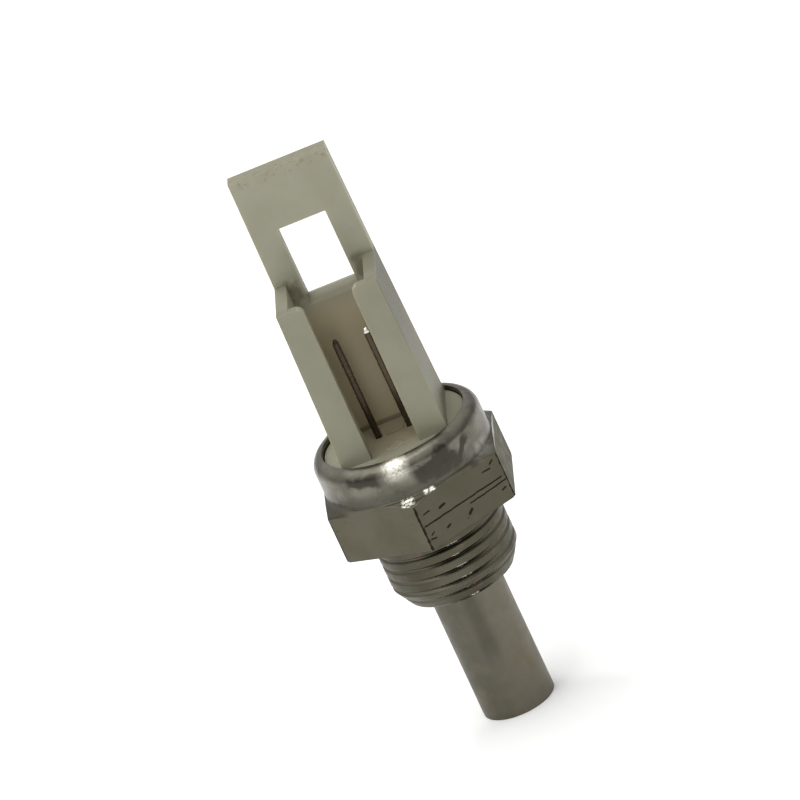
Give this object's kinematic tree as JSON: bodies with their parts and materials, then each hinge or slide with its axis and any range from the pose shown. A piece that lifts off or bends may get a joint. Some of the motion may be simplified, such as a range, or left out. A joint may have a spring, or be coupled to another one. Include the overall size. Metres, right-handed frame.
{
  "type": "immersion temperature probe",
  "caption": "Screw-in immersion probe with a slim closed tip, pipe thread, hexagon, rolled collar and an ivory two-pin socket with a tall windowed latch tongue.",
  "frame": {"origin": "on the probe's axis, at the hexagon's lower face, which seats on the port", "axes": "+Z along the probe towards the connector; the socket's open front faces -Y and the latch tongue stands at +Y; +X to the right seen from the open front"},
  "size_m": [0.013, 0.015, 0.0444],
  "materials": {
    "nickel_plate": "satin nickel plate on brass",
    "ivory_moulding": "fine matt moulded",
    "tinned_pin": "tin plate on brass",
    "seal_rubber": "matt",
    "potting_resin": "cast",
    "thermal_paste": "matt",
    "bead_coating": "gloss",
    "wire_metal": "drawn",
    "sleeve_plastic": "matt",
    "solder": "bright"
  },
  "bodies": {
    "probe": {"brass_body": "nickel_plate", "connector_housing": "ivory_moulding", "contact_pin_left": "tinned_pin", "contact_pin_right": "tinned_pin", "flange_seal": "seal_rubber", "potting_plug": "potting_resin", "thermal_paste": "thermal_paste", "thermistor_bead": "bead_coating", "lead_wire_left": "wire_metal", "lead_wire_right": "wire_metal", "lead_sleeve_left": "sleeve_plastic", "lead_sleeve_right": "sleeve_plastic", "solder_joint_left": "solder", "solder_joint_right": "solder"},
    "latch": {"latch_tongue": "ivory_moulding"}
  },
  "joints": [
    {"name": "latch_flex", "type": "hinge", "parent": "probe", "child": "latch", "pos_m": [0, 0.0029, 0.0192], "axis": [-1, 0, 0], "range_deg": [0, 6], "stiffness_Nm_per_rad": 0.4}
  ]
}
